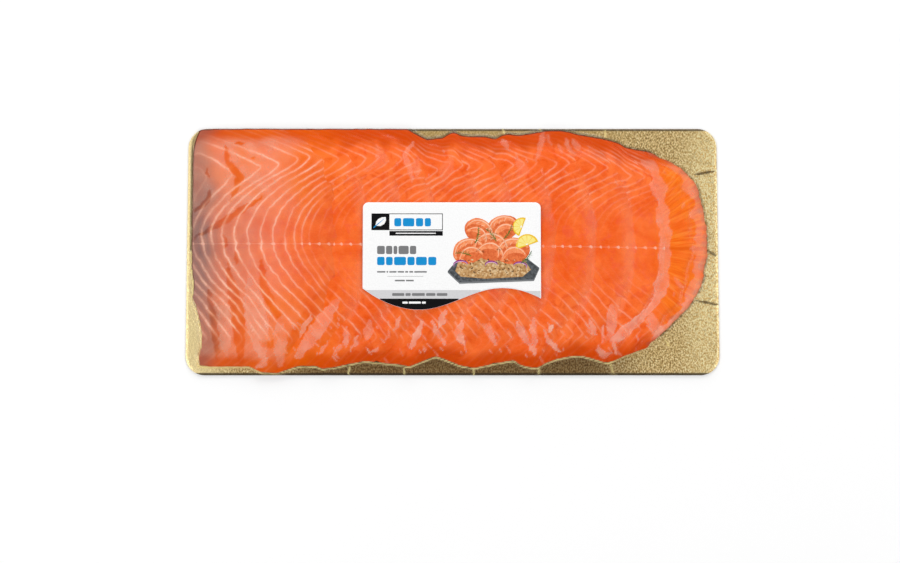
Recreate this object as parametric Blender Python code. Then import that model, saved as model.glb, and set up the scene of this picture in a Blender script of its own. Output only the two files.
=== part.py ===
"""A skin pack of sliced smoked salmon: a gilt board, shingled slices, a clear film over them and a label.

Metres, +Z up. The pack lies flat, with X along the board from the head end of the fish to its tail end and
Y across it. The origin is under the middle of the board. Slices are laid from the tail end, so each one
lies on the one before it and its thin left end rests on the board.
"""

import math

import bmesh
import bpy
import numpy as np

BOARD_LENGTH = 0.385
BOARD_WIDTH = 0.180
BOARD_THICKNESS = 0.0012
CORNER_RADIUS = 0.014
# The board's crushed rim, as (distance in from the cut edge, height).
RIM_PROFILE = ((0.0, 0.0), (0.0, 0.0005), (0.0008, 0.0009), (0.0024, BOARD_THICKNESS))

GAP = 0.0003
SLICE_LENGTH = 0.107
TAIL_END = 0.186
# How far left of a slice's left end the next one starts to rise off the board.
RISE_LEAD = 0.015
# The rise of the shingled slices along X, which sets each slice's thickness.
SHINGLE_SLOPE = 0.075
THIN_END = 0.0008
# From the tail end: how much of a slice shows past the next one, and its reach to the front and the back.
SLICES = (
    (0.030, 0.0700, 0.0735),
    (0.023, 0.0810, 0.0830),
    (0.028, 0.0760, 0.0875),
    (0.030, 0.0840, 0.0855),
    (0.029, 0.0795, 0.0825),
    (0.023, 0.0840, 0.0875),
    (0.033, 0.0775, 0.0835),
    (0.024, 0.0830, 0.0880),
    (0.025, 0.0830, 0.0880),
    (0.023, 0.0860, 0.0880),
    (0.107, 0.0875, 0.0880),
)
# A slice's outline from its front left corner round its tail end to its back left corner: the distance left
# of the tail end, and the share of the reach to the front (below 0) or to the back (above 0).
SLICE_OUTLINE = (
    (0.107, -0.80),
    (0.086, -0.92),
    (0.063, -0.965),
    (0.043, -1.00),
    (0.036, -0.90),
    (0.029, -0.79),
    (0.018, -0.65),
    (0.008, -0.47),
    (0.002, -0.24),
    (0.000, 0.10),
    (0.003, 0.45),
    (0.008, 0.68),
    (0.017, 0.84),
    (0.032, 0.94),
    (0.052, 1.00),
    (0.080, 0.96),
    (0.107, 0.85),
)
# The top slice shows whole: its left end runs along the board's edge and is ragged towards the front.
HEAD_OUTLINE = (
    (0.102, -0.955),
    (0.088, -0.965),
    (0.062, -0.97),
    (0.052, -1.00),
    (0.040, -1.00),
    (0.034, -0.90),
    (0.029, -0.79),
    (0.018, -0.65),
    (0.008, -0.47),
    (0.002, -0.24),
    (0.000, 0.10),
    (0.003, 0.45),
    (0.008, 0.68),
    (0.017, 0.84),
    (0.030, 0.95),
    (0.045, 1.00),
    (0.097, 1.00),
    (0.1055, 0.96),
    (0.107, 0.86),
    (0.1065, 0.02),
    (0.1055, -0.20),
    (0.1040, -0.30),
    (0.1060, -0.42),
    (0.1010, -0.56),
    (0.0990, -0.74),
    (0.1030, -0.88),
)

# The fish's edges, between which it is thickest, and the width over which its edges thin out.
FRONT_EDGE = -0.088
BACK_EDGE = 0.090
SHOULDER = 0.040
EDGE_SHARE = 0.36
# Where the slices' and the film's faces bend, across the board.
HALF_STATIONS = (0.015, 0.030, 0.046, 0.058, 0.069, 0.077, 0.083, 0.0875, 0.0915)
CROSS_STATIONS = (*(-y for y in reversed(HALF_STATIONS)), *HALF_STATIONS)

FILM_THICKNESS = 0.00025
FILM_STEP = 0.0077

LABEL_LEFT = -0.0647
LABEL_RIGHT = 0.0637
LABEL_TOP = 0.0345
LABEL_CORNER = 0.004
LABEL_TROUGH = (-0.0240, -0.0434)
LABEL_CREST = (0.0360, -0.0278)
LABEL_LEFT_FOOT = -0.0280
LABEL_RIGHT_FOOT = -0.0354
LABEL_THICKNESS = 0.00025

SLICE_FLOOR = BOARD_THICKNESS + GAP


def clear_scene():
    for obj in list(bpy.data.objects):
        bpy.data.objects.remove(obj, do_unlink=True)


def principled(name, colour, roughness, metallic=0.0, alpha=1.0):
    material = bpy.data.materials.new(name)
    material.use_nodes = True
    shader = material.node_tree.nodes["Principled BSDF"]
    shader.inputs["Base Color"].default_value = (*colour, 1.0)
    shader.inputs["Roughness"].default_value = roughness
    shader.inputs["Metallic"].default_value = metallic
    shader.inputs["Alpha"].default_value = alpha
    return material


def object_from(name, mesh_data, material=None):
    """A new object in the scene, from a bmesh, with its faces pointing out."""
    bmesh.ops.recalc_face_normals(mesh_data, faces=mesh_data.faces)
    mesh = bpy.data.meshes.new(name)
    mesh_data.to_mesh(mesh)
    mesh_data.free()
    obj = bpy.data.objects.new(name, mesh)
    bpy.context.scene.collection.objects.link(obj)
    if material:
        mesh.materials.append(material)
    return obj


def rounded_rectangle(inset=0.0, corner_steps=6):
    """The board's outline, counter-clockwise, moved inwards by inset."""
    radius = CORNER_RADIUS - inset
    across = BOARD_LENGTH / 2 - CORNER_RADIUS
    along = BOARD_WIDTH / 2 - CORNER_RADIUS
    points = []
    for corner, (side_x, side_y) in enumerate(((1, 1), (-1, 1), (-1, -1), (1, -1))):
        for step in range(corner_steps + 1):
            angle = math.radians(90 * (corner + step / corner_steps))
            x = side_x * across + radius * math.cos(angle)
            y = side_y * along + radius * math.sin(angle)
            points.append((x, y))
    return points


def catmull_rom(before, start, end, after, t):
    square = 2 * before - 5 * start + 4 * end - after
    cube = 3 * start - before - 3 * end + after
    return 0.5 * (2 * start + (end - before) * t + square * t**2 + cube * t**3)


def smooth_through(points, steps):
    """A Catmull-Rom curve through points, which aren't closed, with steps between two of them."""
    curve = []
    for i in range(len(points) - 1):
        before = points[max(i - 1, 0)]
        start, end = points[i], points[i + 1]
        after = points[min(i + 2, len(points) - 1)]
        for step in range(steps):
            t = step / steps
            curve.append(tuple(catmull_rom(a, b, c, d, t) for a, b, c, d in zip(before, start, end, after)))
    curve.append(points[-1])
    return curve


def tail_ends():
    """The X of each slice's tail end."""
    ends = [TAIL_END]
    for shown, _, _ in SLICES[:-1]:
        ends.append(ends[-1] - shown)
    return ends


def rise_starts():
    """Where each slice leaves the board, with one more entry for the top face of the last slice. The first
    slice lies on the board all along, and its entry says where the pile stops rising."""
    starts = [end - SLICE_LENGTH - RISE_LEAD for end in tail_ends()]
    return [starts[0] + SLICES[0][0], *starts]


def edge_share(y):
    """How much of its full height the pile has at this place across the board."""
    inside = min(y - FRONT_EDGE, BACK_EDGE - y, SHOULDER)
    return EDGE_SHARE + (1 - EDGE_SHARE) * math.sin(math.pi / 2 * max(inside, 0) / SHOULDER)


def underside(index, x, y):
    """The height of the lower face of slice index. The face above the last slice is one more."""
    starts = rise_starts()
    if index == 0:
        return SLICE_FLOOR
    climbed = max(0.0, min(x, starts[0]) - starts[index])
    return SLICE_FLOOR + edge_share(y) * SHINGLE_SLOPE * climbed


def upside(index, x, y):
    """The height of the upper face of slice index, which keeps a gap to the slice above it."""
    height = underside(index + 1, x, y) - GAP
    if index == len(SLICES) - 1:
        height = max(height, SLICE_FLOOR + THIN_END)
    return height


def slice_outline(index):
    """The outline of slice index, counter-clockwise, in board coordinates."""
    end = tail_ends()[index]
    _, front, back = SLICES[index]
    top_slice = index == len(SLICES) - 1
    shape = HEAD_OUTLINE if top_slice else SLICE_OUTLINE
    points = [(end - left, share * (front if share < 0 else back)) for left, share in shape]
    if top_slice:
        closed = smooth_through([*points, points[0]], 2)
        return closed[:-1]
    return smooth_through(points, 2)


def prism(name, outline, low, high):
    """A closed solid over an outline, used whole or as a cutter."""
    solid = bmesh.new()
    rings = [[solid.verts.new((x, y, z)) for x, y in outline] for z in (low, high)]
    count = len(outline)
    for i in range(count):
        j = (i + 1) % count
        solid.faces.new((rings[0][i], rings[0][j], rings[1][j], rings[1][i]))
    solid.faces.new(reversed(rings[0]))
    solid.faces.new(rings[1])
    return object_from(name, solid)


def plate(name, stations_x, stations_y, low, high, material):
    """A closed plate over a grid. low and high give its two faces' heights from X and Y."""
    solid = bmesh.new()
    faces = []
    for height in (low, high):
        faces.append([[solid.verts.new((x, y, height(x, y))) for y in stations_y] for x in stations_x])
    last_x, last_y = len(stations_x) - 1, len(stations_y) - 1
    for grid, turn in zip(faces, (-1, 1)):
        for i in range(last_x):
            for j in range(last_y):
                a, b, c, d = grid[i][j], grid[i + 1][j], grid[i + 1][j + 1], grid[i][j + 1]
                for corners in ((a, b, c), (a, c, d)):
                    solid.faces.new(corners[::turn])
    border = [(i, 0) for i in range(last_x)] + [(last_x, j) for j in range(last_y)]
    border += [(i, last_y) for i in range(last_x, 0, -1)] + [(0, j) for j in range(last_y, 0, -1)]
    for (i, j), (k, m) in zip(border, border[1:] + border[:1]):
        lower, upper = faces
        solid.faces.new((lower[i][j], lower[k][m], upper[k][m], upper[i][j]))
    return object_from(name, solid, material)


def trim(obj, outline):
    """Cuts a plate to an outline with a Boolean."""
    cutter = prism(obj.name + "_outline", outline, -0.01, 0.04)
    cutter.hide_render = True
    cutter.display_type = "WIRE"
    cut = obj.modifiers.new("Trim", "BOOLEAN")
    cut.operation = "INTERSECT"
    cut.solver = "EXACT"
    cut.object = cutter


def make_board(material):
    """The board, from rings of its outline that follow the rim's profile."""
    solid = bmesh.new()
    rings = []
    for inset, height in RIM_PROFILE:
        rings.append([solid.verts.new((x, y, height)) for x, y in rounded_rectangle(inset)])
    count = len(rings[0])
    for lower, upper in zip(rings, rings[1:]):
        for i in range(count):
            j = (i + 1) % count
            solid.faces.new((lower[i], lower[j], upper[j], upper[i]))
    solid.faces.new(reversed(rings[0]))
    solid.faces.new(rings[-1])
    return object_from("board", solid, material)


def make_slice(index, material):
    stations_x = sorted([*rise_starts(), TAIL_END - 0.048, TAIL_END - 0.022, TAIL_END + 0.004])
    ends = (tail_ends()[index] - SLICE_LENGTH, tail_ends()[index])
    low_index = max(i for i, x in enumerate(stations_x) if x < ends[0])
    high_index = min(i for i, x in enumerate(stations_x) if x > ends[1])
    solid = plate(
        f"slice_{index + 1:02d}",
        stations_x[low_index : high_index + 1],
        CROSS_STATIONS,
        lambda x, y: underside(index, x, y),
        lambda x, y: upside(index, x, y),
        material,
    )
    trim(solid, slice_outline(index))


def covers(outline, points):
    """Which of an array of points lie inside an outline."""
    inside = np.zeros(len(points), bool)
    x, y = points[:, 0], points[:, 1]
    for (x0, y0), (x1, y1) in zip(outline, outline[1:] + outline[:1]):
        if y0 != y1:
            crosses = (y0 > y) != (y1 > y)
            inside ^= crosses & (x < (x1 - x0) * (y - y0) / (y1 - y0) + x0)
    return inside


def film_stations():
    count = math.ceil((BOARD_LENGTH / 2 + 0.002) * 2 / FILM_STEP)
    reach = count * FILM_STEP / 2
    return [-reach + i * FILM_STEP for i in range(count + 1)]


def film_heights():
    """The height of the film's inner face at each station: over the highest slice in the cells around it."""
    outlines = [slice_outline(index) for index in range(len(SLICES))]
    stations = film_stations()
    shares = np.linspace(-1, 1, 9)
    rows = []
    for x in stations:
        row = []
        for j, y in enumerate(CROSS_STATIONS):
            down = y - CROSS_STATIONS[max(j - 1, 0)]
            up = CROSS_STATIONS[min(j + 1, len(CROSS_STATIONS) - 1)] - y
            around_x = x + shares * FILM_STEP
            around_y = np.where(shares < 0, y + shares * down, y + shares * up)
            points = np.array([(px, py) for px in around_x for py in around_y])
            height = BOARD_THICKNESS
            if 0 < j < len(CROSS_STATIONS) - 1:
                for index, outline in enumerate(outlines):
                    for px in points[covers(outline, points)][:, 0]:
                        height = max(height, upside(index, px, y))
            row.append(height + GAP)
        rows.append(row)
    return rows


def make_film(heights, material):
    """The clear film, which lies over the slices and on the board out to its edge."""
    stations = film_stations()
    inner = {(x, y): heights[i][j] for i, x in enumerate(stations) for j, y in enumerate(CROSS_STATIONS)}
    film = plate(
        "film",
        stations,
        CROSS_STATIONS,
        lambda x, y: inner[x, y],
        lambda x, y: inner[x, y] + FILM_THICKNESS,
        material,
    )
    trim(film, rounded_rectangle())


def label_outline():
    """Counter-clockwise from the foot of the left side: two parabolas and an S-curve make the wave."""
    points = []
    trough_x, trough_y = LABEL_TROUGH
    crest_x, crest_y = LABEL_CREST
    for step in range(6):
        share = 1 - step / 6
        x = trough_x + share * (LABEL_LEFT - trough_x)
        points.append((x, trough_y + share**2 * (LABEL_LEFT_FOOT - trough_y)))
    for step in range(8):
        share = step / 8
        ease = (1 - math.cos(math.pi * share)) / 2
        points.append((trough_x + share * (crest_x - trough_x), trough_y + ease * (crest_y - trough_y)))
    for step in range(5):
        share = step / 4
        x = crest_x + share * (LABEL_RIGHT - crest_x)
        points.append((x, crest_y + share**2 * (LABEL_RIGHT_FOOT - crest_y)))
    for side, start in ((LABEL_RIGHT - LABEL_CORNER, 0), (LABEL_LEFT + LABEL_CORNER, 90)):
        for step in range(5):
            angle = math.radians(start + 90 * step / 4)
            x = side + LABEL_CORNER * math.cos(angle)
            y = LABEL_TOP - LABEL_CORNER + LABEL_CORNER * math.sin(angle)
            points.append((x, y))
    return points


def make_label(heights, material):
    """The label follows the film's outer face, because it is stuck to it."""
    all_x = film_stations()
    columns = [i for i, x in enumerate(all_x) if LABEL_LEFT - FILM_STEP < x < LABEL_RIGHT + FILM_STEP]
    rows = [j for j, y in enumerate(CROSS_STATIONS) if LABEL_TROUGH[1] - 0.003 <= y <= LABEL_TOP + 0.012]
    film_face = {(all_x[i], CROSS_STATIONS[j]): heights[i][j] + FILM_THICKNESS for i in columns for j in rows}
    label = plate(
        "label",
        [all_x[i] for i in columns],
        [CROSS_STATIONS[j] for j in rows],
        lambda x, y: film_face[x, y] + GAP,
        lambda x, y: film_face[x, y] + GAP + LABEL_THICKNESS,
        material,
    )
    trim(label, label_outline())


def main():
    clear_scene()
    gilt = principled("gilt_board", (0.60, 0.42, 0.16), 0.38, metallic=0.9)
    flesh = principled("salmon_flesh", (0.90, 0.20, 0.06), 0.30)
    clear = principled("clear_film", (0.95, 0.95, 0.95), 0.08, alpha=0.25)
    paper = principled("label_paper", (0.95, 0.95, 0.95), 0.45)
    make_board(gilt)
    for index in range(len(SLICES)):
        make_slice(index, flesh)
    heights = film_heights()
    make_film(heights, clear)
    make_label(heights, paper)


main()
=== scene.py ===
import math

import bpy
import numpy as np
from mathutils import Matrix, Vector


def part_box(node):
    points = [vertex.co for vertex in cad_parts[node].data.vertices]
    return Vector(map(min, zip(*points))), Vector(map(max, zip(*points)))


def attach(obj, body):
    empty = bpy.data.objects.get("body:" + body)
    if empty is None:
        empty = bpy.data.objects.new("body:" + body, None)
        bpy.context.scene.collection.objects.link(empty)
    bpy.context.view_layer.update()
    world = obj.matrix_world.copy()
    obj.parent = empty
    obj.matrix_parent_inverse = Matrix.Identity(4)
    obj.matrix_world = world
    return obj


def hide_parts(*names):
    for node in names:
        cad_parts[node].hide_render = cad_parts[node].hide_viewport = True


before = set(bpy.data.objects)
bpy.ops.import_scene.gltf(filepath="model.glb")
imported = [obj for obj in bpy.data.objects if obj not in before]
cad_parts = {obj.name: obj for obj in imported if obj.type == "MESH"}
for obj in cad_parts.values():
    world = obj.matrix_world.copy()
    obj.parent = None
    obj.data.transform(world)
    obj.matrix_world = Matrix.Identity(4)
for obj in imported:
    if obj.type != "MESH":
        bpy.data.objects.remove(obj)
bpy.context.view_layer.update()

MM = 0.001

# ---- Sizes that come with the frame -------------------------------------------------------------------

board_low, board_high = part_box("board")
label_low, label_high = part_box("label")
SLICE_NODES = sorted(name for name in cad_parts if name.startswith("slice_"))
slice_boxes = [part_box(name) for name in SLICE_NODES]
TAIL_ENDS = [high.x for low, high in slice_boxes]
FRONT_REACHES = [-low.y for low, high in slice_boxes]
BACK_REACHES = [high.y for low, high in slice_boxes]
SLICE_LENGTH = slice_boxes[0][1].x - slice_boxes[0][0].x
TOP_SLICE = len(SLICE_NODES) - 1
SLICE_FLOOR = slice_boxes[0][0].z
BOARD_TOP = board_high.z
HALF_LENGTH = board_high.x
HALF_WIDTH = board_high.y
CORNER_RADIUS = 14 * MM
RIM_DROP = 0.7 * MM
RIM_WIDTH = 2.4 * MM

# ---- The pile of slices -------------------------------------------------------------------------------

GAP = 0.3 * MM
RISE_LEAD = 15 * MM
SHINGLE_SLOPE = 0.075
SHOULDER = 40 * MM
EDGE_SHARE = 0.36
THIN_END = 0.6 * MM
FEATHER = 0.4 * MM
RISE_STARTS = [TAIL_ENDS[0] - SLICE_LENGTH - RISE_LEAD + 30 * MM]
RISE_STARTS += [end - SLICE_LENGTH - RISE_LEAD for end in TAIL_ENDS]

# How each slice's tail end sits back from its tip, against the share of its reach to the front or back.
END_SHARES = (-1.0, -0.985, -0.96, -0.9, -0.79, -0.65, -0.47, -0.24, 0.1, 0.45, 0.68, 0.84, 0.94, 0.98, 1.0)
END_SETBACKS = (50, 44, 41, 36, 29, 18, 8, 2, 0, 3, 8, 17, 30, 39, 50)
# The fish's front and back edges, as x and the distance from the board's middle line, in mm.
FRONT_EDGE = (
    (-188, 80), (-183, 83), (-175, 84), (-146, 84), (-138, 88), (-126, 88.7), (-117, 85.5), (-110, 83.5),
    (-99, 83.5), (-94, 85.5), (-85, 84.5), (-74, 82), (-63, 80), (-53, 81), (-38, 82.5), (-31, 84), (-25, 81.5),
    (-16, 78), (-12, 76.5), (-5, 79), (5, 83), (15, 85), (20, 84), (31, 81.5), (44.5, 79.3), (47, 82), (53, 84),
    (61, 85), (67, 81.5), (75, 78.5), (85, 76.5), (93, 76.2), (100, 78), (111, 81.3), (117, 79.3), (124, 76),
    (138, 71), (150, 69.5),
)
BACK_EDGE = (
    (-189, 83), (-187, 86.5), (-184, 89), (-178, 89.9), (-33, 89.7), (-24, 84.5), (-19, 82), (-14, 82.5), (-7, 83.2), (-4, 85.3),
    (0, 87.5), (2.5, 87), (6, 85), (13, 84.2), (24, 83.8), (31.5, 82.3), (35, 84.5), (40, 86), (49, 85), (56, 86),
    (64, 87.5), (67, 88.3), (78, 88.5), (85, 87.4), (92.5, 85.3), (100, 84.2), (109, 82.3), (114, 81.6), (122, 79),
    (126, 76), (146, 72.5), (160, 72),
)
# How far the fish's left end stands in from the first slice's end, against y, in mm.
HEAD_EDGE = (
    (-85, 7), (-80, 5.7), (-72, 8), (-65, 8.4), (-53, 6.7), (-42, 3.7), (-37, 1.1), (-33, 1.7), (-28, 2), (-16, 0.7), (-8, 0.2),
    (14, 0), (78, 0), (84, 1.5), (88, 4.5),
)
# The film's grid over the board.
FILM_STEP = 0.93 * MM


def smooth_step(low, high, value):
    share = np.clip((value - low) / (high - low), 0, 1)
    return share * share * (3 - 2 * share)


def ripple(x, y, size, seed):
    """Smooth noise from about -1 to 1 over the board, with swells of about this size."""
    chance = np.random.default_rng(seed)
    total = 0
    for _ in range(8):
        heading = chance.uniform(0, 2 * math.pi)
        pace = 2 * math.pi / size * chance.uniform(0.5, 1.5)
        total = total + np.sin(pace * (x * math.cos(heading) + y * math.sin(heading)) + chance.uniform(0, 6.3))
    return total / 4


def edge_share(y):
    """How much of its full height the pile has at this place across the board."""
    inside = np.clip(np.minimum(y + 88 * MM, 90 * MM - y), 0, SHOULDER)
    return EDGE_SHARE + (1 - EDGE_SHARE) * np.sin(math.pi / 2 * inside / SHOULDER)


def underside(index, x, y):
    if index == 0:
        return SLICE_FLOOR + 0 * x * y
    climbed = np.maximum(0, np.minimum(x, RISE_STARTS[0]) - RISE_STARTS[index])
    return SLICE_FLOOR + edge_share(y) * SHINGLE_SLOPE * climbed


def tail_setback(index, share):
    """How far the tail end sits back from its tip, with the slice's own waver."""
    plain = np.interp(share, END_SHARES, END_SETBACKS)
    for _ in range(2):
        plain = 0.5 * plain + 0.25 * (
            np.interp(share - 0.06, END_SHARES, END_SETBACKS) + np.interp(share + 0.06, END_SHARES, END_SETBACKS)
        )
    waver = ripple(share * 80 * MM, 0 * share, 22 * MM, 40 + index) + 0.5 * ripple(share * 80 * MM, 0 * share, 8 * MM, 60 + index)
    if index == 0:
        waver = waver + 0.9 * np.abs(ripple(share * 80 * MM, 0 * share, 9 * MM, 71))
    return (plain + 0.7 * (1 + waver)) * MM


def curve(points, value, soft=1.2):
    """A broken line through the points, with its corners rounded off a little."""
    xs, ys = zip(*points)
    return sum(np.interp(value + step * soft, xs, ys) for step in (-1, -0.33, 0.33, 1)) / 4


def reach(index, x, share):
    """How far the slice reaches to the front or the back at this x."""
    full = np.where(share < 0, curve(FRONT_EDGE, x / MM), curve(BACK_EDGE, x / MM))
    hidden = smooth_step(70 * MM, 85 * MM, TAIL_ENDS[index] - x) if index < TOP_SLICE else 0
    inset = 0.15 * index / TOP_SLICE + hidden * (1.2 + ripple(x, 0 * x, 16 * MM, 80 + index))
    return (full - inset + 0.2 * ripple(x, 0 * x, 9 * MM, 80 + index)) * MM


def head_end(index, share):
    """The x of the slice's left end."""
    left = TAIL_ENDS[index] - SLICE_LENGTH
    if index < TOP_SLICE:
        return left + 0 * share
    y = share * 88
    return left + (curve(HEAD_EDGE, y) + 0.25 * ripple(y, 0 * y, 9, 5)) * MM


def flap(index):
    """How long the thin flap at a slice's tail end is, and its share of the slice's thickness there."""
    if index == 0:
        return 11 * MM, 0.3
    if index == 1:
        return 3 * MM, 0.04
    return 9 * MM, 0.02


def upside(index, x, y, from_tail, share):
    """The height of a slice's upper face. It thins to a flap at the tail end and rounds off at its edges."""
    low = underside(index, x, y)
    high = underside(index + 1, x, y) - GAP
    if index == TOP_SLICE:
        high = np.maximum(high, SLICE_FLOOR + THIN_END)
    length, thin = flap(index)
    length = length * (1 + 0.3 * ripple(x, y, 24 * MM, 90 + index))
    ramp = (2.2 * MM, 6 * MM)[index] if index < 2 else 17 * MM
    keep = thin + (1 - thin) * smooth_step(length - ramp / 2, length + ramp / 2, from_tail)
    lip = np.sqrt(smooth_step(-0.2 * MM, 1.5 * MM, from_tail))
    side = np.sqrt(np.clip(1 - np.abs(share) ** 14, 0, 1))
    swell = 0.12 * MM * ripple(x, y, 18 * MM, 20 + index)
    sunk = FEATHER * smooth_step(8 * MM, 0, from_tail) if index else 0
    return low + (high - low + swell * keep) * keep * lip * (0.25 + 0.75 * side) - sunk


# ---- The muscle bands of a slice ----------------------------------------------------------------------

FULL_REACH = 88
# The run of one white line: its distance from the midline, and how far it has moved towards the tail, in mm.
BACK_LINE = (
    (0, 0), (6, -0.8), (12, -0.3), (19, 2.4), (25, 6), (30, 10.2), (35, 15.6), (40, 21.8), (44, 27.5), (48, 33.8), (52, 41),
    (55, 46), (58.5, 50.3), (61.3, 53.2), (62.6, 53.8), (64, 51.8), (66, 47.8), (70, 39), (76, 23), (84, 0), (92, -24),
)
FRONT_LINE = (
    (0, 0), (3.7, 0.2), (9, 2.4), (15, 5.6), (28.6, 15.5), (41, 28), (53.4, 38.5), (62, 45.5), (68, 50), (70.5, 51),
    (73, 49), (81, 40), (92, 28),
)
# Where the lines cross the midline, from the slice's tail end, in mm.
LINE_STARTS = (-190, -120, -113, -106, -99, -92, -84, -75, -65.6, -56.2, -47.2, -38.5, -31.5, -26, -20.5, -13.5, -6.5, 14)
LINE_NUMBERS = (-8.5, *(number + 0.5 for number in range(-1, 15)), 17.5)


def midline(x):
    """The y of the line between the back and belly muscles, in mm."""
    return 3.4 - 0.0105 * x / MM


def line_start(along, up):
    """Where the white line through a point of the back half crosses the midline. Lines near the head end lean less."""
    low, high = along - 60, along + 40
    for _ in range(22):
        start = (low + high) / 2
        lean = np.interp(start, (-121, -113, -106, -99, -92, -85), (0.12, 0.3, 0.53, 0.77, 0.9, 1.0))
        tip = np.interp(start, (-120, -113, -106, -99, -92, -85, -75), (47, 49, 51.2, 55.8, 58, 62, 63.5))
        beyond = start + lean * curve(BACK_LINE, np.clip(up, 0, None) * 63.5 / tip, 0.35) > along
        low, high = np.where(beyond, low, start), np.where(beyond, start, high)
    return (low + high) / 2


def band_number(index, x, y):
    """Which muscle band a point lies in: the white lines run where this passes a whole number and a half."""
    chance = np.random.default_rng(300 + index)
    own_lift, own_size, own_shift = chance.uniform(-1, 1), chance.uniform(0.96, 1.04), chance.uniform(0, 1)
    if index == TOP_SLICE:
        own_lift, own_size, own_shift = 0, 1, 0
    along = (x - TAIL_ENDS[index]) / MM + 0.5 * ripple(x, y, 24 * MM, 30 + index) + 0.35 * ripple(x, y, 9 * MM, 31 + index)
    up = y / MM - midline(x) - own_lift
    up = up * FULL_REACH / np.where(up > 0, curve(BACK_EDGE, x / MM), curve(FRONT_EDGE, x / MM) + 3)
    start = np.where(up > 0, line_start(along, up), along - curve(FRONT_LINE, np.clip(-up, 0, None), 0.5))
    return np.interp(start * own_size, LINE_STARTS, LINE_NUMBERS) + own_shift


def line_strength(index, x, y, share):
    along = (x - TAIL_ENDS[index]) / MM
    up = y / MM - midline(x)
    heart = np.exp(-((np.clip(-12 - along, 0, None) / 24) ** 2) - (up / 30) ** 2)
    strength = 1 - 0.93 * heart
    if index < TOP_SLICE:
        strength = strength * (1 - 0.8 * np.exp(-((up / 33) ** 4))) * (1 - 0.8 * smooth_step(132, 146, x / MM))
    strength = strength * (1 - 0.9 * smooth_step(64, 77, up)) * (1 - 0.9 * smooth_step(58, 74, -up))
    if index < TOP_SLICE:
        strength = strength * (1 - 0.3 * smooth_step(35, 55, up))
    strength = strength * (0.76 + 0.44 * ripple(x, y, 22 * MM, 120 + index))
    strength = strength * (0.15 + 0.85 * smooth_step(-2, -17, along))
    if index == TOP_SLICE:
        strength = strength * (0.4 + 0.6 * smooth_step(-187, -172, x / MM))
        strength = strength * (1 - 0.35 * smooth_step(-132, -96, x / MM))
        strength = strength * (1 - 0.75 * smooth_step(-172, -179, x / MM) * smooth_step(24, 34, up) * smooth_step(66, 56, up))
    return np.clip(strength * (0.96 if index == TOP_SLICE else 0.36 + 0.10 * smooth_step(-5, 10, up)), 0, 1.1)


# ---- Small helpers for pieces and materials -----------------------------------------------------------


def vertex_places(piece):
    places = np.empty(len(piece.data.vertices) * 3)
    piece.data.vertices.foreach_get("co", places)
    return places.reshape(-1, 3)


def put_vertices(piece, x, y, z):
    places = np.stack([x, y, z], axis=1).astype(np.float32)
    piece.data.vertices.foreach_set("co", places.ravel())
    piece.data.update()


def set_numbers(piece, name, *values):
    """Stores one number, or three as a vector, at each vertex."""
    if len(values) == 1:
        layer = piece.data.attributes.new(name, "FLOAT", "POINT")
        layer.data.foreach_set("value", values[0].astype(np.float32))
    else:
        layer = piece.data.attributes.new(name, "FLOAT_VECTOR", "POINT")
        layer.data.foreach_set("vector", np.stack(values, axis=1).astype(np.float32).ravel())


def new_sheet(name, columns, rows, thick):
    """A flat grid from 0 to 1 each way. If thick, it is closed, with its upper face at 1 and its lower at 0."""
    bpy.ops.object.select_all(action="DESELECT")
    bpy.ops.mesh.primitive_grid_add(x_subdivisions=columns, y_subdivisions=rows, size=1, location=(0.5, 0.5, 0))
    piece = bpy.context.active_object
    piece.name = name
    piece.data.name = name
    bpy.ops.object.transform_apply(location=True, rotation=True, scale=True)
    if thick:
        bpy.ops.object.mode_set(mode="EDIT")
        bpy.ops.mesh.select_all(action="SELECT")
        bpy.ops.mesh.extrude_region_move(TRANSFORM_OT_translate={"value": (0, 0, 1)})
        bpy.ops.mesh.select_all(action="SELECT")
        bpy.ops.mesh.normals_make_consistent(inside=False)
        bpy.ops.object.mode_set(mode="OBJECT")
    bpy.ops.object.shade_smooth()
    return piece


def finish_piece(piece, material, slot, *replaced):
    piece.data.materials.clear()
    piece.data.materials.append(material)
    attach(piece, "root")
    if replaced:
        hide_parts(*replaced)


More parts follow.
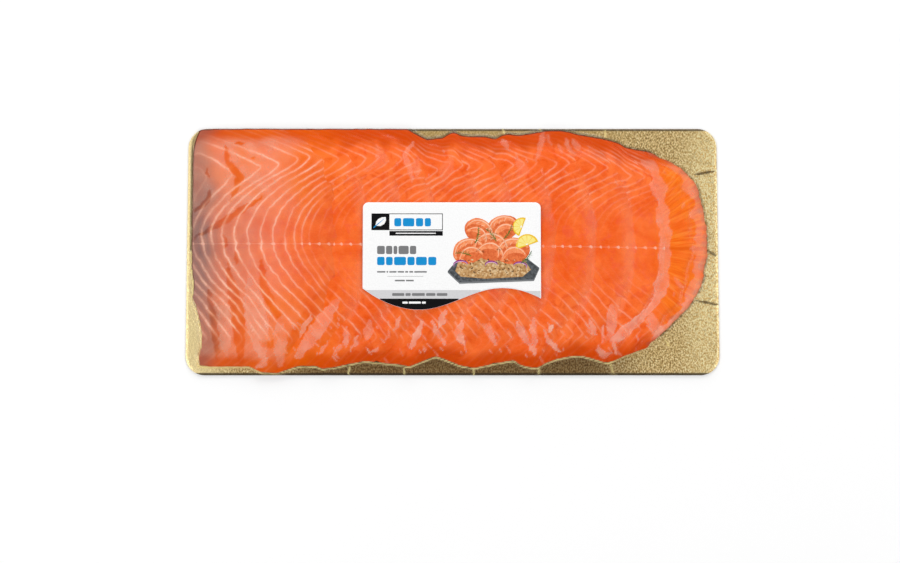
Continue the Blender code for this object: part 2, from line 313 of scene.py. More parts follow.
class Nodes:
    """A short way to write a material's nodes. Inputs are numbers, colours or other nodes' outputs."""

    def __init__(self, name):
        self.material = bpy.data.materials.new(name)
        self.material.use_nodes = True
        self.tree = self.material.node_tree
        self.tree.nodes.clear()

    def add(self, kind, *inputs, out=0, **settings):
        node = self.tree.nodes.new(kind)
        for key, value in settings.items():
            setattr(node, key, value)
        for socket, value in zip(node.inputs, inputs):
            self.give(socket, value)
        return node.outputs[out]

    def give(self, socket, value):
        if isinstance(value, bpy.types.NodeSocket):
            self.tree.links.new(value, socket)
        elif value is not None:
            if isinstance(value, tuple) and len(value) == 3 and socket.type == "RGBA":
                value = (*value, 1.0)
            socket.default_value = value

    def math(self, operation, a, b=0.0, c=0.0):
        return self.add("ShaderNodeMath", a, b, c, operation=operation)

    def spread(self, value, low, high, to_low=0.0, to_high=1.0, smooth=True):
        """Maps a range of values on to another, and keeps to it."""
        node = self.tree.nodes.new("ShaderNodeMapRange")
        node.interpolation_type = "SMOOTHSTEP" if smooth else "LINEAR"
        for socket, given in zip(node.inputs, (value, low, high, to_low, to_high)):
            self.give(socket, given)
        return node.outputs[0]

    def blend(self, factor, a, b, kind="MIX"):
        node = self.tree.nodes.new("ShaderNodeMix")
        node.data_type = "RGBA"
        node.blend_type = kind
        self.give(node.inputs["Factor"], factor)
        self.give(node.inputs[6], a)
        self.give(node.inputs[7], b)
        return node.outputs[2]

    def place(self, scale=(1.0, 1.0, 1.0)):
        coordinates = self.tree.nodes.new("ShaderNodeTexCoord").outputs["Object"]
        return self.add("ShaderNodeMapping", coordinates, None, None, scale)

    def noise(self, size, detail=2.0, scale=(1.0, 1.0, 1.0), rough=0.5, warp=0.0):
        """Noise from 0 to 1 with lumps of this size in metres."""
        node = self.tree.nodes.new("ShaderNodeTexNoise")
        self.give(node.inputs["Vector"], self.place(scale))
        node.inputs["Scale"].default_value = 1 / size
        node.inputs["Detail"].default_value = detail
        node.inputs["Roughness"].default_value = rough
        node.inputs["Distortion"].default_value = warp
        return node.outputs["Fac"]

    def bump(self, height, depth, strength=1.0):
        node = self.tree.nodes.new("ShaderNodeBump")
        node.inputs["Strength"].default_value = strength
        node.inputs["Distance"].default_value = depth
        self.give(node.inputs["Height"], height)
        return node.outputs["Normal"]

    def attribute(self, name):
        node = self.tree.nodes.new("ShaderNodeAttribute")
        node.attribute_name = name
        return node

    def surface(self, **inputs):
        """A Principled shader; underscores in the names stand for spaces."""
        node = self.tree.nodes.new("ShaderNodeBsdfPrincipled")
        for name, value in inputs.items():
            self.give(node.inputs[name.replace("_", " ")], value)
        return node.outputs[0]

    def finish(self, shader):
        output = self.tree.nodes.new("ShaderNodeOutputMaterial")
        self.tree.links.new(shader, output.inputs["Surface"])
        return self.material


# ---- Materials ----------------------------------------------------------------------------------------


def salmon_flesh():
    """Moist orange flesh with white lines where the muscle bands meet, which the piece's own numbers place."""
    n = Nodes("salmon_flesh")
    muscle = n.add("ShaderNodeSeparateXYZ", n.attribute("muscle").outputs["Vector"])
    band, rate, strength = muscle.node.outputs[:3]
    spot = n.add("ShaderNodeSeparateXYZ", n.attribute("spot").outputs["Vector"])
    septum, rim, thin = spot.node.outputs[:3]
    tone = n.attribute("tone").outputs["Fac"]

    wander = n.noise(4 * MM, 3.0)
    band = n.math("ADD", band, n.math("MULTIPLY", n.math("SUBTRACT", wander, 0.5), 0.16))
    part = n.math("FRACT", band)
    off_line = n.math("DIVIDE", n.math("ABSOLUTE", n.math("SUBTRACT", part, 0.5)), rate)
    line = n.spread(off_line, 1.0, 0.12)
    halo = n.spread(off_line, 2.8, 0.3)
    fine = n.spread(n.noise(6 * MM, 4.0, warp=1.5), 0.3, 0.62)
    line = n.math("MULTIPLY", n.math("MULTIPLY", line, strength), n.spread(fine, 0.0, 1.0, 0.55, 1.0))
    halo = n.math("MULTIPLY", n.math("MULTIPLY", halo, strength), 0.37)

    tick = n.math("POWER", n.math("SUBTRACT", 1.0, n.math("ABSOLUTE", n.math("SUBTRACT", part, 0.5))), 6.0)
    tick = n.math("MULTIPLY", tick, n.math("LESS_THAN", part, 0.62))
    half = n.math("ADD", 0.1, n.math("MULTIPLY", tick, 0.95))
    seam = n.spread(n.math("SUBTRACT", n.math("ABSOLUTE", septum), half), 0.4, -0.1)
    seam = n.math("MULTIPLY", seam, n.spread(tick, 0.1, 0.6, 0.28, 0.78))
    seam = n.math("MULTIPLY", seam, n.spread(n.noise(9 * MM, 2.0), 0.3, 0.6, 0.35, 1.0))

    fibre = n.noise(1.3 * MM, 4.0, scale=(0.5, 1.0, 1.0), warp=0.6)
    cloud = n.noise(15 * MM, 4.0, warp=0.4)
    colour = n.blend(n.spread(cloud, 0.3, 0.7), (0.87, 0.102, 0.008), (0.98, 0.178, 0.034))
    colour = n.blend(n.spread(fibre, 0.35, 0.7, 0.0, 0.22), colour, (0.97, 0.235, 0.06))
    from_middle = n.math("ABSOLUTE", n.add("ShaderNodeSeparateXYZ", n.place(), out=1))
    outer = n.spread(from_middle, 18 * MM, 42 * MM)
    bruise = n.spread(n.noise(7 * MM, 4.0, warp=0.8), 0.5, 0.7, 0.0, 0.4)
    bruise = n.math("MULTIPLY", bruise, n.math("MULTIPLY_ADD", outer, 0.75, 1.0))
    colour = n.blend(bruise, colour, n.blend(outer, (0.86, 0.098, 0.055), (0.80, 0.078, 0.003)))
    colour = n.blend(tone, colour, (0.95, 0.185, 0.010))
    fan = n.attribute("fan").outputs["Vector"]
    reach_out = n.add("ShaderNodeSeparateXYZ", fan).node.outputs[2]
    rays = n.tree.nodes.new("ShaderNodeTexNoise")
    n.give(rays.inputs["Vector"], n.add("ShaderNodeMapping", fan, None, None, (0.5, 0.45, 0.0)))
    rays.inputs["Scale"].default_value = 1.0
    rays.inputs["Detail"].default_value = 4.0
    rays.inputs["Distortion"].default_value = 0.5
    rays = rays.outputs["Fac"]
    colour = n.blend(n.math("MULTIPLY", n.spread(rays, 0.50, 0.36, 0.0, 0.7), reach_out), colour, (0.86, 0.11, 0.004))
    colour = n.blend(n.math("MULTIPLY", n.spread(rays, 0.52, 0.66, 0.0, 0.5), reach_out), colour, (1.0, 0.32, 0.05))
    edge = n.blend(tone, (0.66, 0.070, 0.0005), (0.82, 0.125, 0.001))
    colour = n.blend(n.math("MULTIPLY", n.math("MINIMUM", rim, 1.0), 0.95), colour, edge)
    colour = n.blend(n.math("MULTIPLY", thin, 0.72), colour, (0.25, 0.115, 0.11))
    colour = n.blend(n.math("MULTIPLY", n.math("MAXIMUM", halo, 0.0), 0.9), colour, (1.0, 0.34, 0.18))
    white = n.math("MINIMUM", n.math("MAXIMUM", line, seam), 1.0)
    colour = n.blend(n.math("MULTIPLY", white, 0.8), colour, (1.0, 0.61, 0.47))
    # Where rim passes 1 the flesh takes a painted shadow line: along the fish's back edge, and along the head end's cut
    # edge, where it is partly shadow.
    colour = n.blend(n.spread(rim, 1.1, 1.9), colour, (0.13, 0.022, 0.012))

    relief = n.math("SUBTRACT", n.math("MULTIPLY", fibre, 0.5), n.math("MULTIPLY", line, 0.6))
    return n.finish(
        n.surface(
            Base_Color=colour,
            Roughness=n.spread(fibre, 0.2, 0.8, 0.36, 0.55),
            Specular_IOR_Level=0.06,
            Subsurface_Weight=0.1,
            Subsurface_Radius=(1.0, 0.3, 0.12),
            Subsurface_Scale=0.0018,
            Normal=n.bump(relief, 0.12 * MM, 0.6),
        )
    )


def gilt_laminate():
    """Gold metallised laminate with a fine pressed grain. The grain's light and dark specks are painted highlights and
    painted shade, the left and right margins carry painted highlights, and the front and back lip, the right margin's
    creases and a strip under the fish's front edge carry painted shade.
    """
    n = Nodes("gilt_laminate")
    grain = n.noise(1.1 * MM, 3.0, scale=(1.0, 0.75, 1.0), rough=0.62)
    coarse = n.noise(3.2 * MM, 3.0)
    broad = n.noise(60 * MM, 2.0)
    place = n.add("ShaderNodeSeparateXYZ", n.place())
    x, y = place.node.outputs[:2]
    plain = n.blend(n.spread(coarse, 0.35, 0.7), (0.52, 0.335, 0.098), (0.63, 0.425, 0.14))
    # The pressed grain follows the foil's emboss; its light specks are painted highlights and its dark specks painted
    # shade.
    pressed = n.blend(n.spread(grain, 0.38, 0.62), (0.30, 0.175, 0.042), (1.0, 0.75, 0.35))
    pressed = n.blend(n.spread(grain, 0.55, 0.65), pressed, (1.0, 0.91, 0.57))
    pressed = n.blend(n.spread(grain, 0.42, 0.32, 0.0, 0.7), pressed, (0.15, 0.09, 0.025))
    sharp = n.spread(n.math("ADD", x, n.math("MULTIPLY", n.math("SUBTRACT", broad, 0.5), 60 * MM)), 70 * MM, 150 * MM, 0.35, 0.85)
    sharp = n.math("MAXIMUM", sharp, n.spread(x, -120 * MM, -150 * MM, 0.0, 0.6))
    front = n.spread(y, -60 * MM, -80 * MM)
    sharp = n.math("MAXIMUM", sharp, n.math("MULTIPLY", front, 0.9))
    colour = n.blend(sharp, plain, pressed)
    # A painted highlight along the right margin, where the board's edge catches the light.
    right_highlight = n.math("MULTIPLY", n.spread(x, 158 * MM, 184 * MM), n.spread(broad, 0.3, 0.6, 0.65, 1.0))
    highlight_colour = n.blend(n.spread(grain, 0.38, 0.60), (0.74, 0.47, 0.14), (1.0, 0.90, 0.52))
    colour = n.blend(n.math("MULTIPLY", right_highlight, 0.96), colour, highlight_colour)
    # Painted shade in the foil's creases along the right margin.
    crease_shade = n.spread(n.math("ABSOLUTE", n.math("SUBTRACT", n.noise(7 * MM, 3.0, warp=1.0), 0.5)), 0.035, 0.0)
    crease_shade = n.math("MULTIPLY", n.math("MULTIPLY", crease_shade, 0.5), n.spread(x, 158 * MM, 176 * MM))
    colour = n.blend(crease_shade, colour, (0.32, 0.19, 0.05))
    # Painted shade on the board's front strip under the fish's front edge, from about x -135 to 150 mm.
    shaded_span = n.spread(x, 150 * MM, 95 * MM)
    shaded_span = n.math("MULTIPLY", shaded_span, n.spread(x, -135 * MM, -95 * MM))
    colour = n.blend(n.math("MULTIPLY", front, shaded_span), colour, (0.34, 0.28, 0.22), "MULTIPLY")
    # A painted highlight along the left margin, where the board's edge catches the light.
    left = n.spread(x, -150 * MM, -180 * MM)
    colour = n.blend(n.math("MULTIPLY", left, 0.65), colour, (1.0, 0.84, 0.44))
    # Painted shade, near black, along the board's front and back lip.
    lip = n.spread(n.math("ABSOLUTE", y), 87.8 * MM, 88.9 * MM)
    colour = n.blend(n.math("MULTIPLY", lip, 0.92), colour, (0.035, 0.022, 0.009))
    relief = n.math("ADD", grain, n.math("MULTIPLY", coarse, 1.2))
    return n.finish(
        n.surface(
            Base_Color=colour,
            Metallic=0.4,
            Roughness=n.spread(grain, 0.3, 0.7, 0.46, 0.32),
            Normal=n.bump(relief, 0.26 * MM, 0.9),
        )
    )


def clear_film():
    """Clear film. Where it stands off the fish it carries a pale painted sheen, and just outside the fish, over the
    gold, painted highlight lines and painted shadow lines.
    """
    n = Nodes("clear_film")
    bloom = n.attribute("bloom").outputs["Fac"]
    gilt = n.attribute("gilt").outputs["Fac"]
    mottle = n.spread(n.noise(6 * MM, 2.0), 0.3, 0.7, 0.85, 1.12)
    bloom = n.math("MULTIPLY", bloom, mottle)
    # The painted sheen is pale salmon; over the gold it turns pale yellow for painted highlights and dark brown for
    # painted shadow lines.
    tint = n.blend(n.spread(gilt, 0.02, 0.2), (1.0, 0.70, 0.53), (1.0, 0.86, 0.40))
    tint = n.blend(n.spread(gilt, -0.02, -0.1), tint, (0.07, 0.035, 0.012))
    relief = n.bump(n.noise(9 * MM, 2.0, warp=0.8), 0.06 * MM, 0.6)
    pale = n.surface(
        Base_Color=tint,
        Roughness=0.45,
        Specular_IOR_Level=0.15,
        Normal=relief,
    )
    pale = n.add("ShaderNodeMixShader", 0.3, pale, n.add("ShaderNodeBsdfTranslucent", tint))
    wet = n.attribute("wet").outputs["Fac"]
    clear = n.add("ShaderNodeBsdfTransparent", n.blend(wet, (0.99, 0.985, 0.98), (0.95, 0.84, 0.72)))
    body = n.add("ShaderNodeMixShader", n.math("MINIMUM", n.math("ADD", bloom, n.math("ABSOLUTE", gilt)), 0.9), clear, pale)
    gloss = n.tree.nodes.new("ShaderNodeBsdfAnisotropic")
    gloss.inputs["Roughness"].default_value = 0.2
    n.tree.links.new(relief, gloss.inputs["Normal"])
    facing = n.tree.nodes.new("ShaderNodeLayerWeight")
    facing.inputs["Blend"].default_value = 0.5
    n.tree.links.new(relief, facing.inputs["Normal"])
    share = n.math("MULTIPLY_ADD", n.math("POWER", facing.outputs["Facing"], 5.0), 0.6, 0.012)
    return n.finish(n.add("ShaderNodeMixShader", share, body, gloss.outputs[0]))


def paper(name, colour, roughness=0.45, second=None):
    """Coated paper, or ink on it: nearly even, with a faint fibre. An ink may drift to a second colour."""
    n = Nodes(name)
    fibre = n.noise(0.8 * MM, 4.0)
    if second:
        colour = n.blend(n.spread(n.noise(2.4 * MM, 3.0, warp=0.6), 0.35, 0.65), colour, second)
    tone = n.blend(n.spread(fibre, 0.3, 0.7, 0.07, 0.0), colour, (0.0, 0.0, 0.0))
    return n.finish(
        n.surface(
            Base_Color=tone,
            Roughness=n.spread(fibre, 0.3, 0.7, roughness - 0.06, roughness + 0.06),
            Specular_IOR_Level=0.12,
            Normal=n.bump(fibre, 0.02 * MM, 0.4),
        )
    )


def floor_paint():
    n = Nodes("floor_paint")
    tone = n.blend(n.noise(0.3, 2.0), (0.93, 0.93, 0.93), (0.95, 0.95, 0.95))
    return n.finish(n.surface(Base_Color=tone, Roughness=0.7, Specular_IOR_Level=0.1))


# ---- Slices -------------------------------------------------------------------------------------------


def make_slice(index, material):
    top = index == TOP_SLICE
    columns, rows = (92, 140) if top else (46, 132)
    piece = new_sheet(f"salmon_slice_{index + 1:02d}", columns, rows, thick=True)
    places = vertex_places(piece)
    share = np.clip(2 * places[:, 1] - 1, -1, 1)
    along = places[:, 0]
    if not top:
        along = 1 - (1 - along) ** 1.7
    tail = TAIL_ENDS[index] - tail_setback(index, share)
    head = head_end(index, share)
    x = head + along * (tail - head)
    y = share * reach(index, x, share)
    upper = upside(index, x, y, tail - x, share)
    lower = underside(index, x, y) - (0.26 * MM if index else 0)
    if index:
        lower = lower - FEATHER * smooth_step(8 * MM, 0, tail - x)
    put_vertices(piece, x, y, np.where(places[:, 2] > 0.5, upper, lower))

    band = band_number(index, x, y)
    nudge = 0.2 * MM
    slope_x = (band_number(index, x + nudge, y) - band) / 0.2
    slope_y = (band_number(index, x, y + nudge) - band) / 0.2
    rate = np.clip(np.hypot(slope_x, slope_y), 0.04, 0.6)
    if top:
        rate = rate * (1 + 0.35 * smooth_step(-142 * MM, -176 * MM, x))
    rim = smooth_step(np.where(share > 0, 0.80, 0.83), np.where(share > 0, 0.92, 0.96), np.abs(share) + 0.03 * ripple(x, y, 16 * MM, 150 + index))
    # Past 1, rim paints a shadow line along the back edge.
    rim = rim + smooth_step(0.985, 0.997, share)
    thin = 0 * x
    if top:
        thin = 0.62 * smooth_step(66 * MM, 10 * MM, x - head) * np.exp(-(((y + 2 * MM) / (50 * MM)) ** 2))
        thin = thin + 0.1 * smooth_step(150 * MM, 90 * MM, x - head)
        thin = thin + 0.8 * smooth_step(22 * MM, 4 * MM, x - head + 4 * MM * ripple(y, 0 * y, 26 * MM, 172))
        # A dark line along the head end's cut edge, partly painted shadow.
        rim = np.maximum(rim, 2.6 * smooth_step(1.5 * MM, 0.5 * MM, x - head) * smooth_step(-40 * MM, -24 * MM, y))
    septum = y / MM - midline(x)
    if index == 0:
        rim = np.maximum(rim, 0.85 * np.exp(-((septum / 1.3) ** 2)))
        septum = septum + FULL_REACH
        thin = 0.5 * smooth_step(4.5 * MM, 0.5 * MM, tail - x + 2.5 * MM * ripple(y, 0 * y, 8 * MM, 173))
    tone = 0.85 * smooth_step(140 * MM, 162 * MM, x)
    tone = np.maximum(tone, 0.75 * smooth_step(-60 * MM, -130 * MM, x) * smooth_step(14 * MM, 46 * MM, np.abs(y)))
    tone = np.clip(tone * (1 + 0.5 * ripple(x, y, 30 * MM, 170)), 0, 1)
    set_numbers(piece, "muscle", band, rate, line_strength(index, x, y, share))
    set_numbers(piece, "spot", septum, rim, thin)
    centre_x, centre_y = 118 * MM, 1 * MM
    fan = np.arctan2(y - centre_y, np.maximum(x - centre_x, 1 * MM)) * 60
    set_numbers(piece, "fan", fan, np.hypot(x - centre_x, y - centre_y) / (9 * MM), 0.9 * smooth_step(146 * MM, 160 * MM, x))
    set_numbers(piece, "tone", tone)
    finish_piece(piece, material, "salmon_flesh", SLICE_NODES[index])


# ---- The film -----------------------------------------------------------------------------------------

# Where the film stands off the fish in a crisp leaf of pale painted sheen: its line in mm on the board, half its width,
# and how pale it is.
FACETS = (
    # over the front of the fish, from the head end
    (((-165, -34), (-163, -75)), 5.5, 0.35),
    (((-146, -22), (-142, -45), (-137, -76)), 8.5, 0.45),
    (((-124, -50), (-124, -83)), 5, 0.5),
    (((-83, -37), (-96, -56), (-112, -77)), 5.6, 0.75),
    (((-141, -85), (-133, -79)), 2.5, 0.7),
    (((-85, -74), (-80, -69)), 2, 0.6),
    (((-76, -56), (-77, -70)), 2.6, 0.9),
    (((-59, -52), (-62, -65)), 3.4, 0.7),
    (((-102, -48), (-110, -62)), 2.2, 0.9),
    (((-68, -62), (-73, -73)), 1.6, 1.1),
    (((-38, -48), (-41, -58)), 1.8, 0.9),
    (((-90, -66), (-96, -76)), 1.6, 0.8),
    (((-45, -57), (-48, -66)), 1.2, 0.7),
    (((-58, -74), (-53, -70)), 1.2, 0.9),
    (((-22, -52), (-25, -60), (-30, -71)), 2.6, 1.3),
    (((-15, -52), (-11, -60), (-5, -68)), 2.2, 1.1),
    (((-6, -44), (-9, -56)), 2.6, 1.1),
    (((7, -52), (4, -60), (8, -68)), 3.2, 1.1),
    (((24, -54), (28, -61), (31, -69)), 2.6, 0.9),
    (((46, -52), (51, -62), (59, -75)), 2.4, 1.1),
    (((58, -49), (58, -57), (60, -74)), 2.4, 0.9),
    (((65, -57), (69, -65), (77, -73)), 2.0, 1.2),
    (((72, -54), (70, -59)), 1.5, 1.9),
    (((99, -51), (103, -61)), 2.8, 1.0),
    (((108, -54), (108, -67)), 1.2, 0.9),
    (((114, -40), (115, -50), (113, -64)), 3.8, 0.8),
    (((115, -65), (118, -75)), 1.3, 1.0),
    (((104, -69), (108, -76), (115, -75)), 2.0, 0.8),
    (((142, -44), (149, -65)), 4.2, 0.7),
    # over the back of the fish
    (((-29, 50), (-31, 60), (-35, 69), (-29, 79)), 2.4, 1.1),
    (((-26, 66), (-26, 54)), 2.8, 0.6),
    (((-63, 58), (-50, 66), (-55, 77)), 3.6, 0.5),
    (((-7, 52), (-1, 67)), 5, 0.4),
    (((36, 82), (41, 73)), 2.6, 0.9),
    (((67, 87), (64, 77), (61, 67)), 2.4, 0.9),
    (((69, 86), (71, 77)), 1.6, 0.8),
    (((77, 78), (80, 71)), 1.5, 0.8),
    (((82, 83), (84, 75), (89, 70)), 2.0, 0.9),
    (((87, 82), (93, 73)), 2.0, 0.9),
    (((46, 67), (53, 58), (47, 52)), 3.2, 0.5),
    (((83, 70), (103, 71), (122, 64)), 3.4, 0.35),
    # over the first slice's end
    (((166, 31), (168, 36)), 1.3, 0.8),
    (((161, -20), (166, -27)), 1.4, 0.7),
    (((159, -30), (160, -34)), 1.2, 0.7),
)
# Streaks at the head end where the film touches the fish inside the wide stretch that stands off: line and half width.
TOUCHES = (
    (((-187, 9), (-163, 23), (-138, 39)), 2.8),
    (((-187, 29), (-178, 36), (-176, 44)), 2.6),
    (((-165, 76), (-163, 64), (-154, 54), (-161, 36)), 3.2),
    (((-158, 79), (-152, 79)), 1.6),
    (((-147, 68), (-143, 67)), 1.5),
    (((-179, 60), (-178, 54)), 1.5),
    (((-166, 12), (-163, 5), (-166, 1)), 1.7),
    (((-176, -29), (-172, -52), (-169, -78)), 3.0),
    (((-162, -14), (-155, -44), (-152, -80)), 5.6),
    (((-157, -1), (-156, -9)), 2.0),
    (((-162, -8), (-162, -12)), 1.2),
    (((-138, -8), (-136, -28), (-123, -53)), 4.0),
    (((-138, -67), (-131, -69), (-125, -61)), 3.0),
    (((-80, -17), (-97, -40), (-107, -56), (-120, -75)), 6.5),
)
# Short creases of the film from the fish's edge to the board's edge.
TICKS = (
    ((-35, -85), (-34.5, -90)),
    ((15, -85), (15.5, -90)),
    ((62, -84), (62.5, -90)),
    ((114, -82), (116, -90)),
    ((-74, -84), (-75, -89)),
    ((-61, 86), (-62, 90)),
    ((38, 83), (37, 90)),
    ((64.5, 87), (64, 90)),
    ((112, 82), (111, 90)),
    ((176, 56), (192, 59)),
    ((184, 1), (192, -4)),
    ((176, -36), (192, -39)),
    ((153, -64), (157, -70)),
)


def stroke(x, y, points, half_width):
    """1 along a tapering stroke, falling to 0 at its edge and below 0 outside it. All in mm."""
    best = np.full(x.shape, -9.0)
    lengths = [math.dist(a, b) for a, b in zip(points, points[1:])]
    total, done = sum(lengths), 0
    for (ax, ay), (bx, by), length in zip(points, points[1:], lengths):
        share = np.clip(((x - ax) * (bx - ax) + (y - ay) * (by - ay)) / length**2, 0, 1)
        away = np.hypot(x - ax - share * (bx - ax), y - ay - share * (by - ay))
        along = (done + share * length) / total
        width = half_width * (0.25 + 0.75 * np.sin(math.pi * np.clip(along, 0.02, 0.98)) ** 0.7)
        best = np.maximum(best, 1 - away / width)
        done += length
    return best


def crisp(x, y, points, half_width):
    """1 inside a tapering stroke and 0 outside it, with an edge under a millimetre wide."""
    return smooth_step(0, min(0.9, 0.9 / half_width), stroke(x, y, points, half_width))


def with_edge_highlight(cover):
    """Cover from 0 to 1, with a little painted highlight along its edge."""
    return cover + 2.6 * cover * (1 - cover)


class Grid:
    """Heights and other numbers on a regular grid over the board."""

    def __init__(self):
        self.columns = int(2 * HALF_LENGTH / FILM_STEP)
        self.rows = int(2 * HALF_WIDTH / FILM_STEP)
        line_x = np.linspace(-HALF_LENGTH, HALF_LENGTH, self.columns + 1)
        line_y = np.linspace(-HALF_WIDTH, HALF_WIDTH, self.rows + 1)
        self.x, self.y = np.meshgrid(line_x, line_y, indexing="ij")

    def at(self, field, x, y):
        """The field's value at any places, between the grid's points."""
        i = np.clip((x + HALF_LENGTH) / (2 * HALF_LENGTH) * self.columns, 0, self.columns - 1e-6)
        j = np.clip((y + HALF_WIDTH) / (2 * HALF_WIDTH) * self.rows, 0, self.rows - 1e-6)
        i0, j0 = i.astype(int), j.astype(int)
        u, v = i - i0, j - j0
        low = field[i0, j0] * (1 - u) + field[i0 + 1, j0] * u
        high = field[i0, j0 + 1] * (1 - u) + field[i0 + 1, j0 + 1] * u
        return low * (1 - v) + high * v


def board_face(x, y):
    """The height of the board's upper face, which falls off in a soft rim at its edge."""
    beyond_x = np.maximum(np.abs(x) - (HALF_LENGTH - CORNER_RADIUS), 0)
    beyond_y = np.maximum(np.abs(y) - (HALF_WIDTH - CORNER_RADIUS), 0)
    inside = CORNER_RADIUS - np.hypot(beyond_x, beyond_y)
    return BOARD_TOP - RIM_DROP * (1 - smooth_step(-0.4 * MM, RIM_WIDTH, inside)), inside


def pile_face(grid):
    """The highest flesh at each point of the grid, and -1 where there is none."""
    face = np.full(grid.x.shape, -1.0)
    for index in range(len(SLICE_NODES)):
        side = np.where(grid.y < 0, -1.0, 1.0)
        share = grid.y / reach(index, grid.x, side)
        tail = TAIL_ENDS[index] - tail_setback(index, np.clip(share, -1, 1))
        head = head_end(index, np.clip(share, -1, 1))
        on = (np.abs(share) <= 1) & (grid.x <= tail) & (grid.x >= head)
        height = upside(index, grid.x, grid.y, tail - grid.x, np.clip(share, -1, 1))
        face = np.where(on, np.maximum(face, height), face)
    return face


def drape(grid, held, face):
    """Film pulled down on to what it covers: it bridges hollows with an even curve."""
    pull = 0.045 / MM * (FILM_STEP**2) / 4
    film = face.copy()
    for _ in range(400):
        padded = np.pad(film, 1, mode="edge")
        mean = (padded[:-2, 1:-1] + padded[2:, 1:-1] + padded[1:-1, :-2] + padded[1:-1, 2:]) / 4
        film = np.where(held, face, np.maximum(face, mean - pull))
    return film


